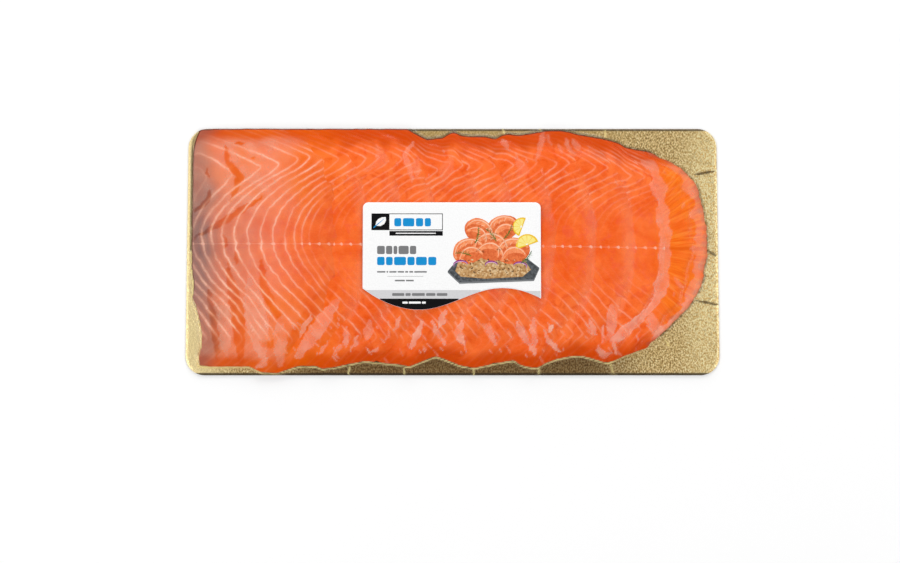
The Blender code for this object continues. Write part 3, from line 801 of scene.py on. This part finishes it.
def film_fields(grid):
    """The film's height, its painted sheen and its painted highlight and shadow lines, on the grid."""
    board, inside = board_face(grid.x, grid.y)
    pile = pile_face(grid)
    face = np.maximum(pile, board)
    film = drape(grid, inside < 1.2 * MM, face)
    lift = film - face

    x, y = grid.x / MM, grid.y / MM
    inset = np.minimum(curve(BACK_EDGE, x) - y, y + curve(FRONT_EDGE, x))
    across = np.clip(grid.y / reach(0, grid.x, np.sign(grid.y)), -1, 1)
    from_tail = (TAIL_ENDS[0] - tail_setback(0, across)) / MM - x
    from_head = x - head_end(TOP_SLICE, np.clip(y / 88, -1, 1)) / MM
    within = np.minimum(inset, np.minimum(from_tail * (1 - 0.4 * np.abs(across)), from_head))
    on_fish = smooth_step(-0.6, 0.4, within)
    warp_x = x + 0.8 * ripple(grid.x, grid.y, 7 * MM, 11)
    warp_y = y + 0.8 * ripple(grid.x, grid.y, 7 * MM, 12)
    pale_facets = 0.22 + 0.17 * smooth_step(-15, -50, y)
    facet = np.zeros(x.shape)
    for points, half, pale in FACETS:
        leaf = with_edge_highlight(crisp(warp_x, warp_y, points, half))
        facet = np.maximum(facet, pale * leaf)
        film = film + 0.1 * MM * leaf
    # Short random strokes of painted glint over the front and back of the fish.
    chance = np.random.default_rng(19)
    for _ in range(110):
        start_x = chance.uniform(-150, 165)
        start_y = chance.choice((-1, 1), p=(0.75, 0.25)) * chance.uniform(48, 78)
        lean = math.radians(chance.uniform(-75, -40))
        far = chance.uniform(2, 7)
        points = ((start_x, start_y), (start_x + far * math.cos(lean), start_y + far * math.sin(lean)))
        near = (np.abs(x - start_x) < 10) & (np.abs(y - start_y) < 10)
        facet[near] = np.maximum(facet[near], chance.uniform(0.5, 1.4) * crisp(x[near], y[near], points, 0.9))
    # The bands of painted sheen where it runs down from the second slice's end on to the first, and from the first on
    # to the board.
    waver = ripple(grid.y, 0 * grid.x, 22 * MM, 18) + 0.5 * ripple(grid.x, grid.y, 9 * MM, 19)
    second_end = (TAIL_ENDS[1] - tail_setback(1, np.clip(y / 88, -1, 1))) / MM
    off = x - second_end + 1 + 11 * smooth_step(-35, -60, y)
    half = 4.3 + 1.5 * waver
    bridge = smooth_step(half + 0.4, half - 0.5, np.abs(off)) * smooth_step(68, 62, np.abs(y))
    depth = 8 - 3.5 * smooth_step(-25, -55, y) + 2 * waver + 2.6 * np.clip(ripple(grid.y, 0 * grid.x, 9 * MM, 24), 0, 1.2)
    depth = depth + 6 * np.exp(-np.abs(y - midline(grid.x)) / 2.4)
    skirt = smooth_step(depth, depth - 0.9, from_tail) * smooth_step(66, 60, np.abs(y))
    skirt = skirt * (0.5 + 0.5 * smooth_step(0.5, 3.5, from_tail + ripple(grid.x, grid.y, 6 * MM, 26)))
    facet = np.maximum(facet, np.maximum(1.1 * with_edge_highlight(bridge), 1.1 * skirt))
    touch = np.zeros(x.shape)
    for points, half in TOUCHES:
        touch = np.maximum(touch, crisp(warp_x, warp_y, points, half))
    tick = np.zeros(x.shape)
    for points in TICKS:
        ridge = np.clip(1.3 * stroke(x, y, points, 1.0), 0, 1)
        film = film + 0.35 * MM * ridge
        tick = np.maximum(tick, ridge)

    # The wide painted sheen at the head end, which the fish's tight edges are clear of.
    tight = smooth_step(4, 11, inset - 1.5 * ripple(grid.x, grid.y, 22 * MM, 13))
    head_sheen = (0.19 + 0.095 * smooth_step(10, 45, y)) * smooth_step(-100, -140, x + 5 * ripple(grid.x, grid.y, 40 * MM, 14)) - 0.06 * smooth_step(-160, -186, x)
    head_sheen = head_sheen * (1 + 0.22 * ripple(grid.x, grid.y, 20 * MM, 7)) * tight * (1 - touch)
    # A faint painted sheen over the fish, and soft bands of it at the tail ends of the middle slices.
    soft = 0.03 * ripple(grid.x, grid.y, 30 * MM, 15) - 0.012
    for index in range(2, len(TAIL_ENDS) - 1):
        tail = (TAIL_ENDS[index] - tail_setback(index, np.clip(y / 88, -1, 1))) / MM
        soft = soft + 0.11 * smooth_step(-14, -1, x - tail) * smooth_step(1.0, -0.6, x - tail) * (1 - smooth_step(40, 62, np.abs(y)))
    facet = facet * (1 + 0.3 * ripple(grid.x, grid.y, 13 * MM, 16))
    bloom = (head_sheen + np.clip(soft, 0, 0.2) * tight + pale_facets * facet) * on_fish
    # Painted lines on the film just outside the fish: a highlight along the front hem and on the creases at the front
    # and left, a shadow along the back hem, round the right end and on the creases at the right.
    hem = smooth_step(-1.6, -0.7, within) * smooth_step(0.2, -0.5, within) * smooth_step(89.8, 88.6, np.abs(y))
    ragged_shadow = -0.35 - 0.35 * ripple(grid.x, grid.y, 5 * MM, 25)
    hem = hem * np.where(x > 150, np.minimum(ragged_shadow, 0), np.where(y < 0, (0.8 + 0.35 * ripple(grid.x, grid.y, 8 * MM, 22)) * smooth_step(150, 110, x), -0.6))
    gilt = (hem + np.where((x > 130) & (y > -60), -1.0, 0.85) * tick) * (1 - on_fish)
    touch = touch * (0.6 + 0.3 * ripple(grid.x, grid.y, 12 * MM, 17))
    wet = np.clip(touch + 0.4 * (1 - tight), 0, 1) * (1 - np.clip(1.5 * facet, 0, 1)) * on_fish
    padded = np.pad(face, 1, mode="edge")
    high = np.max([padded[i : i + face.shape[0], j : j + face.shape[1]] for i in range(3) for j in range(3)], axis=0)
    film = np.maximum(film, high)
    return film + 0.08 * MM, np.clip(bloom, 0, 0.7), np.clip(gilt, -0.7, 0.85), wet, film


def make_film(grid, height, bloom, gilt, wet, material):
    piece = new_sheet("skin_film", grid.columns, grid.rows, thick=False)
    places = vertex_places(piece)
    y = HALF_WIDTH * (2 * places[:, 1] - 1)
    beyond = np.clip(np.abs(y) - (HALF_WIDTH - CORNER_RADIUS), 0, CORNER_RADIUS)
    half = HALF_LENGTH - CORNER_RADIUS + np.sqrt(np.clip(CORNER_RADIUS**2 - beyond**2, 0, None))
    x = half * (2 * places[:, 0] - 1)
    put_vertices(piece, x, y, grid.at(height, x, y))
    set_numbers(piece, "bloom", grid.at(bloom, x, y))
    set_numbers(piece, "gilt", grid.at(gilt, x, y))
    set_numbers(piece, "wet", grid.at(wet, x, y))
    finish_piece(piece, material, "clear_film", "film")


# ---- The board ----------------------------------------------------------------------------------------


def make_board(material):
    bpy.ops.object.select_all(action="DESELECT")
    bpy.ops.mesh.primitive_cube_add(size=1, location=(0, 0, 0.25 * MM))
    piece = bpy.context.active_object
    piece.name = "gilt_board"
    piece.scale = (2 * HALF_LENGTH, 2 * HALF_WIDTH, 0.5 * MM)
    bpy.ops.object.transform_apply(location=True, rotation=True, scale=True)
    bpy.ops.object.mode_set(mode="EDIT")
    bpy.ops.mesh.select_all(action="DESELECT")
    bpy.ops.mesh.select_mode(type="EDGE")
    bpy.ops.object.mode_set(mode="OBJECT")
    for edge in piece.data.edges:
        a, b = (piece.data.vertices[i].co for i in edge.vertices)
        edge.select = abs(a.z - b.z) > 0.1 * MM
    bpy.ops.object.mode_set(mode="EDIT")
    bpy.ops.mesh.bevel(offset=CORNER_RADIUS, segments=16, affect="EDGES")
    bpy.ops.mesh.select_mode(type="FACE")
    bpy.ops.mesh.select_all(action="DESELECT")
    bpy.ops.object.mode_set(mode="OBJECT")
    for face in piece.data.polygons:
        face.select = face.normal.z > 0.9
    bpy.ops.object.mode_set(mode="EDIT")
    for width, rise in ((0.25, 0.22), (0.45, 0.2), (0.8, 0.2), (0.9, 0.08)):
        bpy.ops.mesh.inset(thickness=width * MM, depth=rise * MM)
    bpy.ops.object.mode_set(mode="OBJECT")
    bpy.ops.object.shade_smooth_by_angle(angle=math.radians(40))
    finish_piece(piece, material, "gilt_board", "board")


# ---- The label ----------------------------------------------------------------------------------------

LABEL_CORNER = 4 * MM
LABEL_THICKNESS = 0.3 * MM
INK = 0.02 * MM
# The label's wavy lower edge: its left end, trough, crest and right end.
WAVE = ((label_low.x, -28 * MM), (-24 * MM, label_low.y), (36 * MM, -27.8 * MM), (label_high.x, -35.4 * MM))


def label_foot(x, lift=0.0):
    """The y of the label's wavy lower edge, or of a line this far above it."""
    (left, left_y), (trough, trough_y), (crest, crest_y), (right, right_y) = WAVE
    fall = trough_y + ((trough - x) / (trough - left)) ** 2 * (left_y - trough_y)
    rise = trough_y + (crest_y - trough_y) * (1 - np.cos(math.pi * (x - trough) / (crest - trough))) / 2
    end = crest_y + ((x - crest) / (right - crest)) ** 2 * (right_y - crest_y)
    return np.where(x < trough, fall, np.where(x < crest, rise, end)) + lift


def label_head(x):
    beyond = np.maximum(LABEL_CORNER - np.minimum(x - label_low.x, label_high.x - x), 0)
    return label_high.y - LABEL_CORNER + np.sqrt(np.clip(LABEL_CORNER**2 - beyond**2, 0, None))


def on_label(x, y):
    """How far outside the label a point is, 0 inside it."""
    foot, head = label_foot(np.clip(x, label_low.x, label_high.x)), label_high.y
    out_x = np.maximum(np.maximum(label_low.x - x, x - label_high.x), 0)
    out_y = np.maximum(np.maximum(foot - y, y - head), 0)
    return np.hypot(out_x, out_y)


class LabelFace:
    """The gentle curve that the label takes over the film."""

    def __init__(self, grid, rest):
        under = on_label(grid.x, grid.y) <= 0
        x, y, z = grid.x[under], grid.y[under], rest[under]
        terms = self.terms(x, y)
        self.weights = np.linalg.lstsq(terms, z, rcond=None)[0]
        self.weights[0] += np.percentile(z - terms @ self.weights, 99) + 0.15 * MM

    def terms(self, x, y):
        return np.stack([1 + 0 * x, x, y, x * x, x * y, y * y, x**3], axis=-1)

    def height(self, x, y):
        return self.terms(x, y) @ self.weights


def make_label(face, material):
    piece = new_sheet("paper_label", 110, 60, thick=True)
    places = vertex_places(piece)
    x = label_low.x + (label_high.x - label_low.x) * (1 - np.cos(math.pi * places[:, 0])) / 2
    foot, head = label_foot(x), label_head(x)
    y = foot + places[:, 1] * (head - foot)
    put_vertices(piece, x, y, face.height(x, y) + places[:, 2] * LABEL_THICKNESS)
    finish_piece(piece, material, "label_paper", "label")


class Print:
    """Flat shapes of one ink on the label, gathered into one piece. Places are in mm on the board."""

    def __init__(self, name, face, material, level=1):
        self.name, self.face, self.material, self.level = name, face, material, level
        self.corners, self.rings = [], []

    def shape(self, points):
        """A filled outline, given anticlockwise."""
        start = len(self.corners)
        self.corners += [(x * MM, y * MM) for x, y in points]
        self.rings.append(list(range(start, start + len(points))))

    def bar(self, x, y, width, height, rounding=0.0):
        self.shape(bar_outline(x, y, width, height, rounding))

    def disc(self, x, y, radius, squash=1.0, turn=0.0, start=0.0, sweep=360.0):
        self.shape(disc_outline(x, y, radius, squash, turn, start, sweep))

    def ribbon(self, points, widths):
        """A strip along a smooth line, with its width at each end and in the middle."""
        self.shape(ribbon_outline(points, widths))

    def foot_strip(self, left, right, top):
        """What lies between the label's wavy foot and a level line over it."""
        xs = np.linspace(left, right, 40)
        feet = label_foot(xs * MM) / MM + 0.1
        xs, feet = xs[feet < top - 0.1], feet[feet < top - 0.1]
        self.shape([*zip(xs, feet), (xs[-1], top), (xs[0], top)])

    def make(self):
        mesh = bpy.data.meshes.new(self.name)
        mesh.from_pydata([(x, y, 0) for x, y in self.corners], [], self.rings)
        piece = bpy.data.objects.new(self.name, mesh)
        bpy.context.scene.collection.objects.link(piece)
        bpy.ops.object.select_all(action="DESELECT")
        bpy.context.view_layer.objects.active = piece
        piece.select_set(True)
        bpy.ops.object.mode_set(mode="EDIT")
        bpy.ops.mesh.select_all(action="SELECT")
        bpy.ops.mesh.quads_convert_to_tris()
        span_x = [x for x, y in self.corners]
        for cut in np.arange(min(span_x) + 9 * MM, max(span_x), 9 * MM):
            bpy.ops.mesh.select_all(action="SELECT")
            bpy.ops.mesh.bisect(plane_co=(cut, 0, 0), plane_no=(1, 0, 0))
        span_y = [y for x, y in self.corners]
        for cut in np.arange(min(span_y) + 9 * MM, max(span_y), 9 * MM):
            bpy.ops.mesh.select_all(action="SELECT")
            bpy.ops.mesh.bisect(plane_co=(0, cut, 0), plane_no=(0, 1, 0))
        bpy.ops.mesh.select_all(action="SELECT")
        bpy.ops.mesh.extrude_region_move(TRANSFORM_OT_translate={"value": (0, 0, 1)})
        bpy.ops.mesh.select_all(action="SELECT")
        bpy.ops.mesh.normals_make_consistent(inside=False)
        bpy.ops.object.mode_set(mode="OBJECT")
        places = vertex_places(piece)
        x, y = places[:, 0], places[:, 1]
        bottom = self.face.height(x, y) + LABEL_THICKNESS + (self.level - 1) * INK - 0.01 * MM
        put_vertices(piece, x, y, bottom + places[:, 2] * (INK + 0.01 * MM))
        finish_piece(piece, self.material, "label_paper")


def bar_outline(x, y, width, height, rounding=0.0):
    if not rounding:
        return [(x, y), (x + width, y), (x + width, y + height), (x, y + height)]
    points = []
    for corner, (cx, cy) in enumerate(((x, y), (x + width, y), (x + width, y + height), (x, y + height))):
        inner_x = cx + (rounding if corner in (0, 3) else -rounding)
        inner_y = cy + (rounding if corner in (0, 1) else -rounding)
        for step in range(5):
            angle = math.radians(180 + 90 * corner + 22.5 * step)
            points.append((inner_x + rounding * math.cos(angle), inner_y + rounding * math.sin(angle)))
    return points


def disc_outline(x, y, radius, squash=1.0, turn=0.0, start=0.0, sweep=360.0):
    """A disc, oval or sector."""
    steps = max(8, int(sweep / 15))
    points = [] if sweep == 360 else [(0.0, 0.0)]
    for step in range(steps + (sweep != 360)):
        angle = math.radians(start + sweep * step / steps)
        points.append((radius * math.cos(angle), radius * squash * math.sin(angle)))
    tilt = math.radians(turn)
    return [
        (x + px * math.cos(tilt) - py * math.sin(tilt), y + px * math.sin(tilt) + py * math.cos(tilt)) for px, py in points
    ]


def ribbon_outline(points, widths):
    xs, ys = np.array(points, float).T
    knots = np.linspace(0, 1, len(xs))
    steps = np.linspace(0, 1, 14)
    degree = min(3, len(xs) - 1)
    line_x, line_y = (np.polyval(np.polyfit(knots, values, degree), steps) for values in (xs, ys))
    along = np.stack([np.gradient(line_x), np.gradient(line_y)], axis=1)
    along /= np.linalg.norm(along, axis=1, keepdims=True)
    half = np.interp(steps, np.linspace(0, 1, len(widths)), widths)[:, None] / 2
    line = np.stack([line_x, line_y], axis=1)
    side = np.stack([-along[:, 1], along[:, 0]], axis=1) * half
    return [tuple(point) for point in np.concatenate([line - side, (line + side)[::-1]])]


def make_print(face):
    black = paper("print_black", (0.006, 0.006, 0.007), 0.35)
    grey = paper("print_grey", (0.20, 0.20, 0.205), 0.4)
    pale = paper("print_pale_grey", (0.64, 0.64, 0.65), 0.4)
    blue = paper("print_blue", (0.010, 0.27, 0.62), 0.4)
    white = paper("print_white", (0.93, 0.93, 0.93), 0.4)

    # The bands along the wavy foot: pale grey above black.
    band = Print("label_grey_band", face, pale)
    band.foot_strip(-64.3, 20, -29.2)
    band.foot_strip(48, 63.3, -29.8)
    band.make()
    band = Print("label_black_band", face, black, 2)
    band.foot_strip(-56, 20, -35.4)
    band.make()

    # A plain badge: a black square with a leaf, a framed box of blue bars and a black strip under it.
    badge = Print("label_badge", face, black)
    badge.bar(-58.5, 14.2, 13.0, 12.2)
    badge.bar(-45.5, 10.2, 38.5, 3.4)
    for x, y, width, height in ((-45.5, 14.2, 38.5, 0.5), (-45.5, 25.9, 38.5, 0.5), (-7.5, 14.2, 0.5, 12.2)):
        badge.bar(x, y, width, height)
    badge.make()
    leaf = Print("label_leaf", face, white, 2)
    leaf.shape([(-55.6, 17.4), (-52.0, 17.2), (-49.2, 18.8), (-48.0, 21.4), (-48.2, 23.8), (-51.0, 23.6), (-53.8, 22.2), (-55.2, 20.0)])
    leaf.bar(-41.0, 11.6, 29.0, 0.7, 0.3)
    leaf.make()
    vein = Print("label_leaf_vein", face, blue, 3)
    vein.ribbon([(-57.0, 16.0), (-54.0, 18.6), (-51.4, 20.8), (-49.4, 22.6)], (0.7, 0.5, 0.2))
    vein.make()

    # Blocks where words would be, in the two sizes and colours of a heading and its small print.
    heads = Print("label_blue_blocks", face, blue)
    x = -42.0
    for width in (6.2, 9.4, 6.4, 5.6):
        heads.bar(x, 17.0, width - 1.2, 6.0, 1.2)
        x += width
    x = -54.3
    for width in (6.4, 5.8, 9.6, 6.2, 8.8, 6.8):
        heads.bar(x, -11.2, width - 1.0, 6.0, 1.2)
        x += width
    heads.make()
    words = Print("label_grey_blocks", face, grey)
    x = -54.3
    for width in (6.4, 5.4, 3.6, 8.2, 5.4):
        words.bar(x, -3.2, width - 0.9, 6.0, 1.1)
        x += width
    x = -54.3
    for width in (6.8, 2.0, 6.0, 5.4, 3.0, 3.6, 9.8):
        words.bar(x, -16.6, width - 0.8, 1.1, 0.3)
        x += width
    words.bar(-47.0, -19.4, 26.0, 0.22)
    x = -41.5
    for width in (8.0, 6.4):
        words.bar(x, -22.9, width - 0.8, 1.1, 0.3)
        x += width
    words.make()
    words = Print("label_foot_blocks", face, grey, 2)
    x = -43.4
    for width in (9.6, 4.6, 10.2, 7.6, 8.6):
        words.bar(x, -33.4, width - 0.9, 2.0, 0.6)
        x += width
    words.make()
    foot = Print("label_white_blocks", face, white, 3)
    x = -36.0
    for width in (4.6, 9.4, 3.6):
        foot.bar(x, -39.0, width - 0.8, 1.5, 0.4)
        x += width
    foot.make()

    make_picture(face, black, white)


def make_picture(face, black, white):
    """A plain picture of food: rolled slices on a slate with lemon, dill and onion rings."""
    chance = np.random.default_rng(21)
    slate = Print("label_slate", face, paper("print_slate", (0.055, 0.06, 0.065), 0.4, (0.12, 0.13, 0.14)))
    slate.shape([(-3.5, -15.5), (5.0, -23.5), (58.5, -21.5), (62.4, -13.0), (54.0, -6.5), (3.0, -8.0)])
    slate.make()
    shade = Print("label_slate_edge", face, paper("print_slate_edge", (0.20, 0.21, 0.22), 0.4), 2)
    shade.shape([(-3.5, -15.5), (-3.4, -16.7), (5.0, -24.7), (58.6, -22.7), (62.5, -14.1), (62.4, -13.0), (58.5, -21.5), (5.0, -23.5)])
    shade.make()

    bread = Print("label_bread", face, paper("print_bread", (0.40, 0.20, 0.07), 0.45, (0.62, 0.38, 0.17)), 2)
    crumb = Print("label_crumb", face, paper("print_crumb", (0.72, 0.50, 0.27), 0.45), 3)
    seed = Print("label_seed", face, paper("print_seed", (0.13, 0.07, 0.03), 0.45), 4)
    bread.shape([(2.0, -15.5), (6.0, -19.5), (24.0, -21.0), (50.5, -19.6), (56.5, -14.5), (52.0, -8.0), (40.0, -5.0), (12.0, -5.5), (4.0, -9.0)])
    for _ in range(130):
        x, y = chance.uniform(4, 54), chance.uniform(-19, -7)
        crumb.disc(x, y, chance.uniform(0.35, 1.1), chance.uniform(0.5, 1), chance.uniform(0, 180))
    for _ in range(60):
        x, y = chance.uniform(5, 53), chance.uniform(-19, -7)
        seed.disc(x, y, chance.uniform(0.3, 0.7), chance.uniform(0.4, 0.8), chance.uniform(0, 180))
    bread.make()
    crumb.make()
    seed.make()

    deep = Print("label_slices_deep", face, paper("print_salmon_deep", (0.66, 0.12, 0.035), 0.4, (0.80, 0.19, 0.06)), 3)
    flesh = Print("label_slices", face, paper("print_salmon", (0.84, 0.20, 0.07), 0.4, (0.94, 0.34, 0.15)), 4)
    light = Print("label_slices_light", face, paper("print_salmon_light", (0.95, 0.52, 0.34), 0.4), 5)
    folds = ((12.0, -1.0, 12.0, 20), (28.0, 2.0, 13.5, -8), (43.5, -1.0, 12.5, 12), (19.5, 13.0, 11.5, -30), (36.5, 15.5, 12.0, 24))
    for x, y, size, turn in folds:
        tilt = math.radians(turn)

        def place(points):
            return [
                (x + px * size * math.cos(tilt) - py * size * math.sin(tilt), y + px * size * math.sin(tilt) + py * size * math.cos(tilt))
                for px, py in points
            ]

        deep.shape(disc_outline(x, y, size, 0.74, turn))
        flesh.ribbon(place([(-0.9, -0.2), (-0.5, 0.5), (0.3, 0.55), (0.88, 0.0)]), (0.10 * size, 0.42 * size, 0.36 * size, 0.12 * size))
        flesh.ribbon(place([(-0.75, -0.42), (-0.2, 0.06), (0.35, -0.02), (0.7, -0.45)]), (0.12 * size, 0.40 * size, 0.34 * size, 0.1 * size))
        light.ribbon(place([(-0.86, -0.1), (-0.45, 0.6), (0.3, 0.64), (0.84, 0.1)]), (0.02 * size, 0.09 * size, 0.03 * size))
        light.ribbon(place([(-0.7, -0.3), (-0.2, 0.17), (0.33, 0.1), (0.66, -0.34)]), (0.02 * size, 0.08 * size, 0.03 * size))
        for step in (-0.45, -0.1, 0.25):
            light.ribbon(place([(step, 0.34), (step + 0.08, 0.45), (step + 0.2, 0.5)]), (0.015 * size, 0.04 * size, 0.015 * size))
    for layer in (deep, flesh, light):
        layer.make()

    rind = Print("label_lemon_rind", face, paper("print_rind", (0.86, 0.55, 0.03), 0.4), 5)
    pulp = Print("label_lemon_pulp", face, paper("print_pulp", (0.93, 0.80, 0.25), 0.4), 6)
    pith = Print("label_lemon_pith", face, white, 7)
    for x, y, size, start in ((54.0, 3.0, 8.4, 20), (50.5, 16.5, 7.0, 70)):
        rind.disc(x, y, size, start=start, sweep=180)
        tilt = math.radians(start + 90)
        cx, cy = x + 0.55 * math.cos(tilt), y + 0.55 * math.sin(tilt)
        for slot in range(5):
            pulp.disc(cx, cy, 0.82 * size, start=start + 4 + 35 * slot, sweep=31)
        pith.disc(cx, cy, 0.9, start=start, sweep=180)
    for layer in (rind, pulp, pith):
        layer.make()

    onion = Print("label_onion", face, paper("print_onion", (0.26, 0.035, 0.22), 0.4), 7)
    onion_light = Print("label_onion_light", face, paper("print_onion_light", (0.72, 0.42, 0.66), 0.4), 8)
    for x, y, size, turn in ((6.0, -11.0, 5.0, 15), (48.5, -12.0, 4.8, -20), (28.0, -11.0, 4.2, 5)):
        arc = [(x + size * math.cos(math.radians(a + turn)), y + 0.6 * size * math.sin(math.radians(a + turn))) for a in (0, 60, 120, 180)]
        onion.ribbon(arc, (0.5, 1.5, 0.5))
        arc = [(px, py - 0.5) for px, py in arc]
        onion_light.ribbon(arc, (0.2, 0.5, 0.2))
    onion.make()
    onion_light.make()

    dill = Print("label_dill", face, paper("print_dill", (0.06, 0.20, 0.03), 0.4), 8)
    for x, y, lean in ((16.5, 5.0, 60), (31.5, 6.0, 110), (37.0, 8.0, 40), (13.5, -4.5, 150), (49.0, -10.0, 28)):
        tilt = math.radians(lean)
        stem = [(x + r * math.cos(tilt + 0.03 * r), y + r * math.sin(tilt + 0.03 * r)) for r in (0, 4, 8, 12)]
        dill.ribbon(stem, (0.5, 0.35, 0.2))
        for step in range(1, 8):
            r = 1.5 * step
            px, py = x + r * math.cos(tilt + 0.03 * r), y + r * math.sin(tilt + 0.03 * r)
            for side in (-1, 1):
                way = tilt + side * chance.uniform(0.6, 1.0)
                reach_out = chance.uniform(1.6, 3.2) * (1 - 0.06 * step)
                tip = (px + reach_out * math.cos(way), py + reach_out * math.sin(way))
                dill.ribbon([(px, py), ((px + tip[0]) / 2, (py + tip[1]) / 2 + 0.15), tip], (0.3, 0.25, 0.1))
    dill.make()


# ---- Stage --------------------------------------------------------------------------------------------


def make_stage():
    bpy.ops.object.select_all(action="DESELECT")
    bpy.ops.mesh.primitive_plane_add(size=6, location=(0, 0, -0.0002))
    floor = bpy.context.active_object
    floor.name = "floor"
    floor.data.materials.append(floor_paint())

    world = bpy.data.worlds.new("soft_room")
    world.use_nodes = True
    tree = world.node_tree
    way = tree.nodes.new("ShaderNodeSeparateXYZ")
    tree.links.new(tree.nodes.new("ShaderNodeTexCoord").outputs["Generated"], way.inputs[0])
    fade = tree.nodes.new("ShaderNodeMapRange")
    tree.links.new(way.outputs["Z"], fade.inputs[0])
    for socket, value in zip(fade.inputs[1:5], (0.50, 0.95, 0.75, 0.05)):
        socket.default_value = value
    tree.links.new(fade.outputs[0], tree.nodes["Background"].inputs["Strength"])
    tree.nodes["Background"].inputs["Color"].default_value = (1.0, 1.0, 1.0, 1.0)
    bpy.context.scene.world = world
    lamps = (
        ("left_softbox", (-2.3, -0.5, 2.2), 1.3, 43.0),
        ("right_softbox", (2.3, -0.4, 2.2), 1.6, 34.0),
        ("back_light", (0.1, 2.6, 0.8), 1.4, 46.0),
    )
    for name, place, size, power in lamps:
        data = bpy.data.lights.new(name, "AREA")
        data.energy = power
        data.size = size
        lamp = bpy.data.objects.new(name, data)
        lamp.location = place
        lamp.rotation_euler = (-Vector(place)).to_track_quat("-Z", "Y").to_euler()
        bpy.context.scene.collection.objects.link(lamp)


def make_camera():
    tilt = math.radians(6.3)
    aim = Vector((-1.8 * MM, -22.2 * MM, 2 * MM))
    distance = 1.483
    data = bpy.data.cameras.new("camera")
    data.lens = 82
    data.sensor_width = 36
    camera = bpy.data.objects.new("camera", data)
    camera.location = aim + distance * Vector((0, -math.sin(tilt), math.cos(tilt)))
    camera.rotation_euler = (tilt, 0, 0)
    bpy.context.scene.collection.objects.link(camera)
    bpy.context.scene.camera = camera


def main():
    bpy.context.scene.view_settings.view_transform = "Standard"
    flesh = salmon_flesh()
    for index in range(len(SLICE_NODES)):
        make_slice(index, flesh)
    make_board(gilt_laminate())
    grid = Grid()
    height, bloom, gilt, wet, rest = film_fields(grid)
    face = LabelFace(grid, rest)
    pressed = smooth_step(9 * MM, 0, on_label(grid.x, grid.y))
    height = height + pressed * (face.height(grid.x, grid.y) - 0.02 * MM - height)
    make_film(grid, height, bloom, gilt, wet, clear_film())
    make_label(face, paper("label_paper", (0.93, 0.93, 0.93)))
    make_print(face)
    make_stage()
    make_camera()


main()
